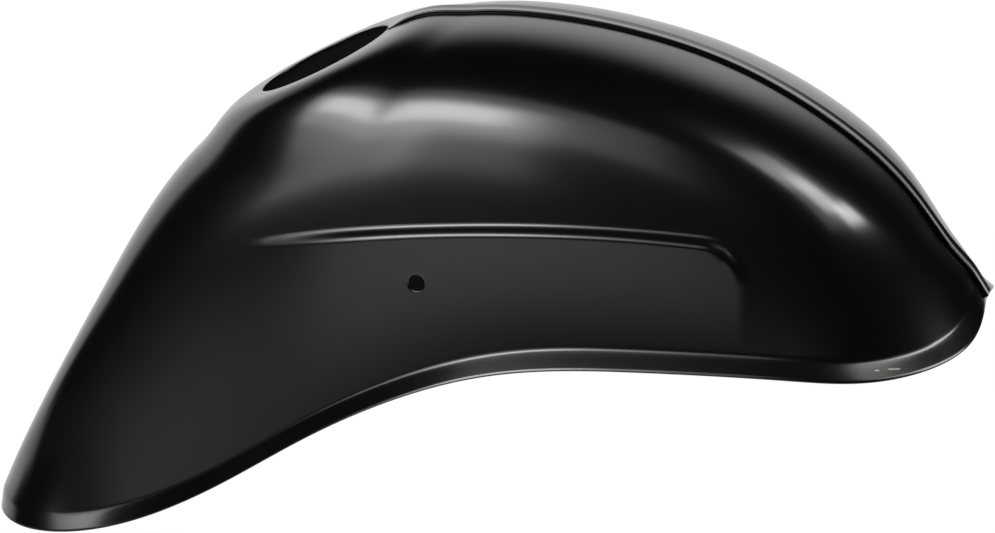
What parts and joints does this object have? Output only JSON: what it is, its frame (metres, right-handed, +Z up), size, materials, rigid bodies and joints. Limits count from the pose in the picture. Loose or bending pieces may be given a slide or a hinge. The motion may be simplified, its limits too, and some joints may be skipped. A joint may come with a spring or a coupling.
{
  "type": "scooter front fender",
  "caption": "Domed pressed-steel scooter front fender with a flat hemmed seam along the crown, a steering-column hole, a raised side panel with a bolt hole and a rolled-out lip.",
  "frame": {"origin": "middle of the steering-column hole, on its axis and level with its rim", "axes": "+X forward along the scooter, +Y to the scooter's left, +Z up; the halves meet on the plane Y = 0"},
  "size_m": [0.5044, 0.196, 0.2717],
  "materials": {
    "black_paint": "satin"
  },
  "bodies": {
    "root": {"right_half": "black_paint", "left_half": "black_paint"}
  },
  "joints": []
}
